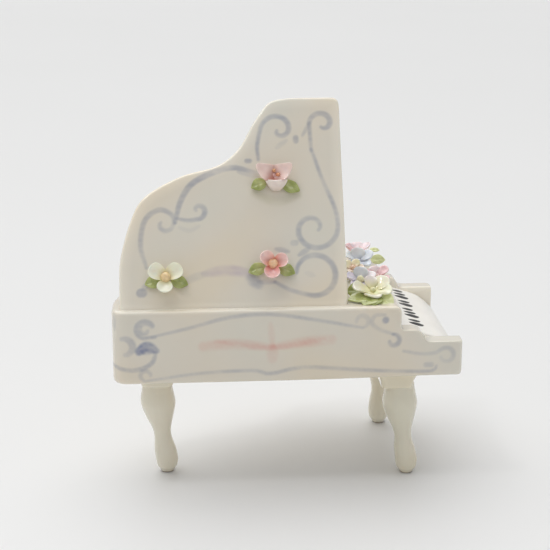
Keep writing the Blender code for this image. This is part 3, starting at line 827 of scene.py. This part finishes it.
def petal(name, length, width, thickness, cup, tip, ruffle, seed, squareness=2.0, waist=0.56,
          skew=0.0):
    """Cupped petal from the origin along +X with a thick round rim, and its distance
    from the root, 0 to 1. Tip and waist are the width at the end and at the root;
    squareness 2 is an oval and above that a rounded box. Skew makes the edge on the +Y
    side longer by that share, and the other one shorter and deeper in the flower."""
    generator = np.random.default_rng(seed)
    phase = generator.uniform(0.0, tau)

    def shape(x, y, z):
        reach = np.hypot(x, y)
        turn = np.arctan2(y, x)
        fill = (np.abs(np.cos(turn)) ** squareness
                + np.abs(np.sin(turn)) ** squareness) ** (-1.0 / squareness)
        x, y = x * fill, y * fill
        broad = (1.0 + waist) / 2 + (1.0 - waist) / 2 * x
        broad -= (1.0 - tip) * np.clip(x, 0.0, 1.0) ** 2
        flat_y = width / 2 * y * broad * (1.0 + 0.12 * (1.0 - reach))
        flat_x = length * (x + 1.0) / 2 * (1.0 + skew * y)
        side = y * y
        lift = cup * (0.75 * side + 0.35 * np.clip(x, 0.0, 1.0) ** 2 + 0.25 * (x < 0) * x * x)
        lift += ruffle * reach ** 3 * np.sin(3.0 * turn + phase)
        body = thickness / 2 * np.sign(z) * np.abs(z) ** 0.6
        return flat_x, flat_y, body * (0.9 + 0.1 * reach) + lift

    mesh = round_mesh(name, 28, 20, shape)
    points = coordinates(mesh)
    # The deeper side takes more of the inner colour, partly as painted shade under the centre
    return mesh, np.clip(points[:, 0] / length + 3.4 * skew * points[:, 1] / width, 0.0, 1.0)


def petal_colours(mesh, away, outer, inner, reach, seed):
    """From the inner colour at the root, deepened partly as painted shade in the cup, to the outer
    colour, with a paler rim as a painted highlight.
    """
    t = np.clip(away / reach, 0.0, 1.0)[:, None]
    t = t * t * (3.0 - 2.0 * t)
    points = coordinates(mesh)
    colours = np.array(inner) * (1.0 - t) + np.array(outer) * t
    # Painted highlight: the rims are made paler
    rim = np.clip(bend_of_surface(mesh) / 3.0, 0.0, 1.0)[:, None]
    colours = colours * (1.0 - 0.5 * rim) + (colours * 0.4 + 0.58) * 0.5 * rim
    return colours * (1.0 + 0.05 * wave(points, 1.6, seed)[:, None])


def leaf(name, length, width, droop, fold, seed):
    """Pointed leaf from the origin along +X with a sunk midrib and side veins."""
    generator = np.random.default_rng(seed)
    lean = generator.uniform(-0.15, 0.15)

    def shape(x, y, z):
        point = np.clip(1.0 - 0.62 * np.clip(x, 0.0, 1.0) ** 2.2, 0.0, 1.0)
        flat_x = length * (x + 1.0) / 2
        flat_y = width / 2 * y * point + lean * x * x
        rib = -0.16 * np.exp(-(y / 0.16) ** 2) * (1.0 - x * x)
        veins = 0.05 * np.sin(9.0 * x - 5.0 * np.abs(y)) * (1.0 - y * y)
        lift = fold * np.abs(y) - droop * x * np.abs(x)
        body = 0.3 * np.sign(z) * np.abs(z) ** 0.7
        return flat_x, flat_y, body + lift + (rib + veins) * (z > 0)

    return round_mesh(name, 40, 20, shape)


LEAF_DEEP = np.array((0.34, 0.39, 0.10))
LEAF_LIGHT = np.array((0.68, 0.72, 0.33))


def leaf_colours(mesh, length, light, seed):
    points = coordinates(mesh)
    away = points[:, 0] / length
    rib = np.exp(-(points[:, 1] / 0.16) ** 2)
    mix = np.clip(light + 0.35 * (1.0 - away) - 0.25 + 0.18 * rib
                  + 0.3 * wave(points, 1.8, seed), 0.0, 1.7)[:, None]
    edge = np.clip(bend_of_surface(mesh) / 5.0, 0.0, 1.0)[:, None]
    colours = LEAF_DEEP * (1.0 - mix) + LEAF_LIGHT * mix
    return colours * (1.0 + 0.25 * edge)


# Each flower on the lid: its place, its slots, and
# - petals: (angle, (root, shift across, shift up), (length, width), shape, tilt, cup),
#   with the shape as (tip, waist, squareness, skew)
# - the petals' outer and inner colours, and the reach of the inner one, 0 to 1; the inner colour
#   is partly painted shade in the cup
# - balls: (across, up, radius, half height, colour)
# - leaves: (angle, root, length)
OVAL = (1.0, 0.6, 2.3, 0.0)
LID_FLOWERS = {
    "flower_high": {
        "spot": (39.6, 31.3), "slot": "petal_blush",
        "petals": (
            (-2, (-0.6, 0.0, 1.25), (5.1, 4.4), (1.0, 0.95, 5.0, 0.2), 24, 1.0),
            (182, (-0.6, -0.1, 1.25), (5.1, 4.4), (1.0, 0.95, 5.0, -0.2), 24, 1.0),
            (90, (-3.1, 0.45, 0.0), (3.1, 6.1), (1.0, 0.42, 5.0, 0.0), 50, -0.8)),
        "outer": ((0.96, 0.74, 0.67), (0.96, 0.74, 0.67), (0.93, 0.80, 0.72)),
        "inner": ((0.46, 0.15, 0.10), (0.46, 0.15, 0.10), (0.86, 0.72, 0.62)),
        "reach": 0.72, "centre_slot": "centre_rose",
        "balls": ((0.0, 1.9, 0.5, 1.2, (0.95, 0.55, 0.30)),
                  # the darker ball on the right is partly painted shade beside the centre
                  (0.95, 0.75, 0.62, 1.3, (0.80, 0.36, 0.19)),
                  (-0.15, 0.55, 1.0, 0.9, (0.72, 0.40, 0.36))),
        "leaves": ((-27, 2.0, 4.9), (199, 2.2, 3.8))},
    "flower_low_tail": {
        "spot": (13.0, 7.4), "slot": "petal_cream",
        "petals": (
            (28, (0.2, 0.0, 0.0), (4.6, 4.8), OVAL, 20, 1.4),
            (152, (0.2, 0.0, 0.0), (4.6, 4.8), OVAL, 20, 1.4),
            (264, (0.9, 0.0, 0.0), (3.5, 4.5), OVAL, 22, 1.5)),
        "outer": ((1.0, 0.97, 0.76), (1.0, 0.97, 0.78), (0.98, 0.98, 0.78)),
        "inner": ((0.84, 0.72, 0.32), (0.84, 0.72, 0.32), (0.84, 0.78, 0.42)),
        "reach": 0.6, "centre_slot": "centre_peach",
        "balls": ((0.0, 0.0, 1.3, 1.35, (0.92, 0.69, 0.38)),),
        "leaves": ((-20, 1.4, 4.2), (200, 1.2, 4.0))},
    "flower_low_front": {
        "spot": (38.6, 10.1), "slot": "petal_rose",
        "petals": (
            (16, (0.6, 0.0, 0.0), (3.8, 4.1), OVAL, 30, 1.9),
            (138, (0.4, 0.0, -0.2), (4.1, 4.2), OVAL, 28, 1.9),
            (264, (0.8, -0.2, 0.0), (3.7, 4.6), OVAL, 26, 2.1)),
        "outer": ((1.0, 0.68, 0.63), (1.0, 0.70, 0.64), (0.99, 0.64, 0.61)),
        "inner": ((0.74, 0.20, 0.11), (0.74, 0.22, 0.11), (0.80, 0.22, 0.18)),
        "reach": 0.75, "centre_slot": "centre_apricot",
        "balls": ((0.0, 0.0, 1.3, 1.35, (0.93, 0.61, 0.36)),),
        "leaves": ((-24, 1.4, 4.3), (196, 1.9, 4.3))},
}


def make_lid_flower(name, flower, seed):
    spot = LID_PLANE @ Matrix.Translation((*flower["spot"], 0.0))
    for index, shape in enumerate(flower["petals"]):
        degrees, (root, across, up), (length, width), form, tilt, cup = shape
        tip, waist, squareness, skew = form
        part = f"{name}_petal_{index + 1}"
        mesh, away = petal(
            part, length, width, 0.95, cup, tip, 0.08, seed + index, squareness, waist, skew)
        colours = petal_colours(
            mesh, away, flower["outer"][index], flower["inner"][index], flower["reach"], seed)
        stand = (
            spot @ Matrix.Translation((across, up, 0.0))
            @ Matrix.Rotation(radians(degrees), 4, "Z")
            @ Matrix.Translation((root, 0.0, 0.75))
            @ Matrix.Rotation(radians(-tilt), 4, "Y"))
        piece(f"{part}_glazed", mesh, PETAL_GLAZE, flower["slot"], colours, part, matrix=stand)
    for index, (degrees, root, length) in enumerate(flower["leaves"]):
        part = f"{name}_leaf_{index + 1}"
        mesh = leaf(part, length, 3.2, 0.35, 0.25, seed + 5 + index)
        colours = leaf_colours(mesh, length, 0.3 + 0.15 * index, seed + 9 + index)
        stand = (
            spot @ Matrix.Rotation(radians(degrees), 4, "Z")
            @ Matrix.Translation((root, 0.0, 0.45)) @ Matrix.Rotation(radians(-6), 4, "Y"))
        piece(f"{part}_glazed", mesh, LEAF_GLAZE, "leaf_green", colours, part, matrix=stand)
    part = f"{name}_centre"
    balls = []
    for index, (across, up, radius, half, colour) in enumerate(flower["balls"]):
        mesh = round_mesh(part, 24, 16, lambda x, y, z: (
            radius * x, radius * y * (1.0 + 0.05 * x),
            half * (z + 1.0) + 0.06 * np.sin(5.0 * x)))
        points = coordinates(mesh)
        colours = np.tile(np.array(colour), (len(points), 1))
        colours *= 1.0 + 0.14 * wave(points, 1.1, seed + 20 + index)[:, None]
        mesh.transform(Matrix.Translation((across, up, 0.0)))
        balls.append((mesh, colours))
    mesh, colours = joined_painted(part, balls)
    piece(f"{part}_glazed", mesh, PETAL_GLAZE, flower["centre_slot"], colours, part, matrix=spot)


# Bouquet flowers on the front deck: head (x, y, height), lean towards the front, slot,
# petals (angle, length, width, tilt, outer colour), inner colour, ball radius and colour
CREAM, CREAM_PINK, CREAM_GREEN = (0.96, 0.92, 0.76), (0.93, 0.85, 0.83), (0.88, 0.89, 0.68)
GREY_BLUE, LILAC, LILAC_PINK = (0.80, 0.83, 0.88), (0.88, 0.82, 0.95), (0.90, 0.84, 0.89)
ROSE, ROSE_PALE = (0.95, 0.64, 0.66), (0.96, 0.80, 0.81)
YELLOW, PEACH = (0.95, 0.87, 0.60), (0.92, 0.78, 0.64)
SLATE, SLATE_LIGHT = (0.85, 0.87, 0.89), (0.76, 0.82, 0.91)
BLUSH, BLUSH_DEEP = (0.97, 0.80, 0.83), (0.86, 0.56, 0.58)
BOUQUET = {
    "bouquet_cream": (
        (62.9, 7.6, 1.5), 22, "petal_cream",
        ((182, 5.0, 5.0, 24, CREAM), (98, 3.8, 3.9, 32, CREAM_PINK), (40, 4.7, 5.4, 26, CREAM),
         (336, 4.4, 5.0, 20, CREAM_GREEN), (262, 3.5, 5.6, 24, CREAM)),
        (0.80, 0.75, 0.38), 0.75, (0.80, 0.77, 0.44)),
    "bouquet_blue": (
        (60.9, 15.6, 1.7), 20, "petal_blue",
        ((84, 3.7, 4.6, 40, GREY_BLUE), (14, 4.0, 3.8, 26, LILAC_PINK), (158, 3.6, 3.5, 26, LILAC),
         (230, 3.0, 3.2, 10, LILAC), (306, 2.7, 3.2, 10, LILAC_PINK)),
        (0.62, 0.58, 0.66), 1.0, (0.90, 0.85, 0.56)),
    "bouquet_pink": (
        (65.9, 20.8, 1.25), 14, "petal_rose",
        ((108, 3.1, 3.6, 34, ROSE_PALE), (40, 3.5, 3.6, 30, ROSE), (168, 3.2, 3.2, 36, ROSE),
         (244, 2.7, 3.0, 26, ROSE), (320, 3.2, 3.2, 16, ROSE)),
        (0.74, 0.42, 0.42), 0.6, (0.88, 0.62, 0.58)),
    "bouquet_yellow": (
        (60.4, 25.4, 2.0), 15, "petal_yellow",
        ((146, 3.0, 3.3, 38, YELLOW), (62, 2.9, 2.8, 34, YELLOW), (0, 2.7, 2.6, 20, PEACH),
         (218, 2.4, 2.7, 12, PEACH), (290, 2.3, 2.6, 8, PEACH)),
        (0.80, 0.52, 0.42), 0.75, (0.84, 0.58, 0.42)),
    "bouquet_slate": (
        (62.9, 32.6, 2.1), 18, "petal_blue",
        ((98, 3.6, 4.8, 44, SLATE), (24, 4.0, 4.2, 30, SLATE_LIGHT), (166, 3.8, 4.2, 32, SLATE),
         (236, 2.9, 3.6, 16, SLATE), (306, 3.4, 3.8, 14, SLATE_LIGHT)),
        (0.60, 0.63, 0.70), 0.5, (0.60, 0.63, 0.72)),
    "bouquet_blush": (
        (63.6, 41.2, 2.25), 4, "petal_blush",
        ((90, 3.2, 4.2, 38, BLUSH), (18, 3.9, 3.8, 32, BLUSH), (162, 3.5, 3.8, 34, BLUSH_DEEP),
         (234, 3.0, 3.4, 24, BLUSH_DEEP), (306, 3.2, 3.4, 24, BLUSH)),
        (0.78, 0.48, 0.48), 0.6, (0.86, 0.68, 0.58)),
}
# Bouquet leaves: root (x, y, height), tilt of the plane to the front, angle in it, length,
# width, lightness
BOUQUET_LEAVES = (
    ((61.5, 9.0, 1.5), 44, 180, 4.9, 4.6, -0.1), ((62.3, 5.9, 1.0), 14, 193, 6.0, 4.6, 0.7),
    ((62.9, 5.9, 1.0), 12, 232, 5.0, 4.6, 0.5), ((63.0, 6.0, 1.0), 12, 262, 4.4, 4.4, 0.1),
    ((62.7, 6.2, 1.4), 28, 318, 6.0, 5.8, 1.6), ((59.4, 22.4, 0.9), 10, 180, 4.4, 3.0, 0.2),
    ((66.3, 35.4, 1.95), 58, 0, 3.9, 2.7, 1.45), ((66.7, 40.0, 3.1), 25, 6, 2.7, 1.7, 1.3))
STEM_SHARE = 0.42


def make_bouquet_flower(name, flower, deck, seed):
    (x, y, height), lean, slot, petals, inner, radius, ball_colour = flower
    head = (
        deck @ Matrix.Translation((x, y, height)) @ Matrix.Rotation(radians(lean), 4, "X"))
    spread = max(length for _, length, _, _, _ in petals)
    parts = []
    for step, (degrees, length, width, tilt, outer) in enumerate(petals):
        mesh, away = petal(
            name, length, width, 0.85, 0.18 * length, 1.0, 0.05 * spread, seed + step)
        fade = 1.0 if slot == "petal_cream" else 0.6
        colours = petal_colours(mesh, away, outer, inner, fade, seed + step)
        mesh.transform(
            Matrix.Rotation(radians(degrees), 4, "Z")
            @ Matrix.Translation((0.12 * spread, 0.0, 0.12 * (step % 2)))
            @ Matrix.Rotation(radians(-tilt), 4, "Y"))
        parts.append((mesh, colours))
    thick = STEM_SHARE * spread
    stem = round_mesh(name, 20, 10, lambda a, b, c: (
        thick * a, thick * b, (c - 1.0) * height / 2 + 0.3))
    parts.append((stem, np.tile(LEAF_DEEP * 0.6, (len(stem.vertices), 1))))
    mesh, colours = joined_painted(name, parts)
    piece(f"{name}_glazed", mesh, PETAL_GLAZE, slot, colours, name, matrix=head)
    ball = round_mesh(f"{name}_centre", 20, 14, lambda a, b, c: (
        radius * a, radius * b, radius * 0.95 * (c + 1.0) + 0.04 * np.sin(7.0 * a)))
    points = coordinates(ball)
    colours = np.tile(np.array(ball_colour), (len(points), 1))
    colours *= 1.0 + 0.12 * wave(points, 1.0, seed + 15)[:, None]
    piece(f"{name}_centre_glazed", ball, PETAL_GLAZE, "centre_yellow", colours,
          f"{name}_centre", matrix=head)


def make_bouquet():
    deck = Matrix.Translation((0.0, 0.0, CASE_HEIGHT))
    for index, (name, flower) in enumerate(BOUQUET.items()):
        make_bouquet_flower(name, flower, deck, 200 + 20 * index)
    for index, (root, tilt, degrees, length, width, light) in enumerate(BOUQUET_LEAVES):
        name = f"bouquet_leaf_{index + 1}"
        mesh = leaf(name, length, width, 0.25, 0.2, 300 + index)
        colours = leaf_colours(mesh, length, light, 320 + index)
        stand = (
            deck @ Matrix.Translation(root) @ Matrix.Rotation(radians(tilt), 4, "X")
            @ Matrix.Rotation(radians(degrees), 4, "Z"))
        piece(f"{name}_glazed", mesh, LEAF_GLAZE, "leaf_green", colours, name, matrix=stand)


# ---------------------------------------------------------------- inside

def glaze_inside():
    """The soundboard, harp plate, struts and pin block keep their CAD shapes."""
    for name, cad in NODES.items():
        if name in ("soundboard", "pin_block") or name.startswith("harp_"):
            for face in cad.material_slots:
                face.material = INSIDE_GLAZE


# ---------------------------------------------------------------- stage

# In metres, in the row frame
CAMERA_PLACE = (-0.02765, -0.3373, 0.14444)
CAMERA_YAW, CAMERA_PITCH, CAMERA_ROLL = radians(4.41), radians(16.11), radians(0.11)
CAMERA_LENS = 91.64
WORLD_COLOUR = (0.97, 0.98, 1.0, 1.0)
WORLD_STRENGTHS = (0.54, 0.49)
SUN_PLACE = (-0.12, 0.32, 0.85)
SUN_STRENGTH, SUN_SPREAD, SUN_COLOUR = 1.72, radians(75), (1.0, 0.99, 0.965)
GLINT_PLACE = (-0.25, -0.10, 0.60)
GLINT_SIZE, GLINT_POWER = 0.06, 0.2


def make_floor():
    material = bpy.data.materials.new("floor_paper")
    material.use_nodes = True
    tree = material.node_tree
    shader = tree.nodes["Principled BSDF"]
    place = node(tree, "ShaderNodeTexCoord").outputs["Object"]
    cloud = node(tree, "ShaderNodeTexNoise", Scale=3.0, Detail=2.0)
    tree.links.new(place, cloud.inputs["Vector"])
    ramp = node(tree, "ShaderNodeValToRGB")
    ramp.color_ramp.elements[0].color = (0.80, 0.80, 0.795, 1.0)
    ramp.color_ramp.elements[1].color = (0.83, 0.83, 0.83, 1.0)
    tree.links.new(cloud.outputs["Fac"], ramp.inputs["Fac"])
    tree.links.new(ramp.outputs["Color"], shader.inputs["Base Color"])
    shader.inputs["Roughness"].default_value = 0.45
    shader.inputs["Specular IOR Level"].default_value = 0.25

    def build(form):
        bmesh.ops.create_grid(form, x_segments=2, y_segments=2, size=6.0)
    mesh = mesh_from("floor", build)
    mesh.materials.append(material)
    placed("floor", mesh)


def aim(thing, place, target):
    thing.location = place
    thing.rotation_mode = "QUATERNION"
    thing.rotation_quaternion = (Vector(target) - Vector(place)).to_track_quat("-Z", "Y")


def make_world():
    """A grey studio, slightly brighter on the left."""
    world = bpy.data.worlds.new("studio")
    world.use_nodes = True
    tree = world.node_tree
    background = tree.nodes["Background"]
    background.inputs["Color"].default_value = WORLD_COLOUR
    split = node(tree, "ShaderNodeSeparateXYZ")
    tree.links.new(node(tree, "ShaderNodeTexCoord").outputs["Generated"], split.inputs[0])
    side = ranged(tree, split.outputs["X"], *WORLD_STRENGTHS, start=-1.0)
    tree.links.new(side, background.inputs["Strength"])
    bpy.context.scene.world = world


def make_lights():
    key = bpy.data.lights.new("key", "SUN")
    key.energy = SUN_STRENGTH
    key.angle = SUN_SPREAD
    key.color = SUN_COLOUR
    aim(placed("key", key), SUN_PLACE, (0.0, 0.0, 0.03))

    glint = bpy.data.lights.new("glint", "AREA")
    glint.shape = "DISK"
    glint.size = GLINT_SIZE
    glint.energy = GLINT_POWER
    aim(placed("glint", glint), GLINT_PLACE, (0.0, 0.0, 0.05))


def make_camera():
    camera = bpy.data.cameras.new("camera")
    camera.sensor_width = 36.0
    camera.lens = CAMERA_LENS
    camera.clip_start = 0.01
    camera.clip_end = 20.0
    camera_object = placed("camera", camera)
    ahead = Vector((
        sin(CAMERA_YAW) * cos(CAMERA_PITCH), cos(CAMERA_YAW) * cos(CAMERA_PITCH),
        -sin(CAMERA_PITCH)))
    camera_object.location = CAMERA_PLACE
    camera_object.rotation_mode = "QUATERNION"
    camera_object.rotation_quaternion = (
        ahead.to_track_quat("-Z", "Y") @ Matrix.Rotation(CAMERA_ROLL, 3, "Z").to_quaternion())
    bpy.context.scene.camera = camera_object


# ---------------------------------------------------------------- everything

bpy.context.scene.view_settings.view_transform = "Standard"
make_camera()
make_floor()
make_world()
make_lights()
make_case()
make_keyboard()
make_lid()
make_legs()
for number, (flower_name, flower) in enumerate(LID_FLOWERS.items()):
    make_lid_flower(flower_name, flower, 100 + 20 * number)
make_bouquet()
glaze_inside()
